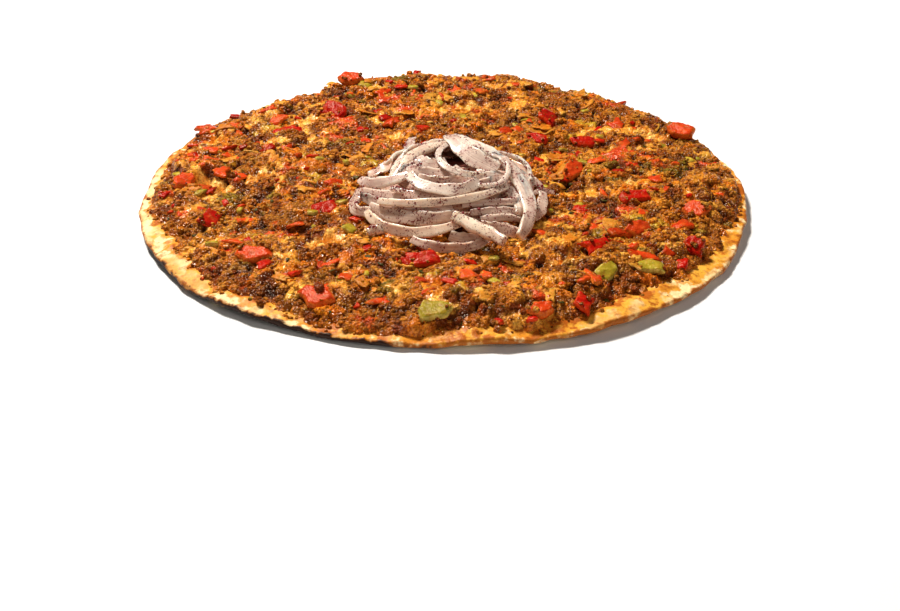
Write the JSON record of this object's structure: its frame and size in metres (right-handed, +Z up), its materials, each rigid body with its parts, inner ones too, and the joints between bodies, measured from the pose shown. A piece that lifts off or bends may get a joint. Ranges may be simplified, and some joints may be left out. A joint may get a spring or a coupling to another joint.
{
  "type": "lahmacun",
  "caption": "Thin round flatbread baked with spiced mince, pepper and tomato nearly to its rim, with a heap of sliced sumac onions on top.",
  "frame": {"origin": "middle of the bread's flat underside, on the surface it rests on", "axes": "+Z up through the bread, -Y towards the front of the picture, +X to its right"},
  "size_m": [0.2834, 0.2766, 0.0365],
  "materials": {
    "baked_dough": "baked dough, oily where it meets the mince",
    "spiced_mince": "crumbly and oily",
    "sliced_onion": "moist, specked with ground sumac",
    "red_pepper": "glossy",
    "tomato": "glossy",
    "green_pepper": "glossy"
  },
  "bodies": {
    "root": {"bread": "baked_dough", "mince_layer": "spiced_mince", "onion_heap": "sliced_onion", "red_pepper_01": "red_pepper", "red_pepper_02": "red_pepper", "red_pepper_03": "red_pepper", "red_pepper_04": "red_pepper", "red_pepper_05": "red_pepper", "red_pepper_06": "red_pepper", "red_pepper_07": "red_pepper", "red_pepper_08": "red_pepper", "red_pepper_09": "red_pepper", "red_pepper_10": "red_pepper", "red_pepper_11": "red_pepper", "red_pepper_12": "red_pepper", "tomato_01": "tomato", "tomato_02": "tomato", "tomato_03": "tomato", "tomato_04": "tomato", "tomato_05": "tomato", "tomato_06": "tomato", "tomato_07": "tomato", "tomato_08": "tomato", "tomato_09": "tomato", "green_pepper_01": "green_pepper", "green_pepper_02": "green_pepper", "green_pepper_03": "green_pepper"}
  },
  "joints": []
}
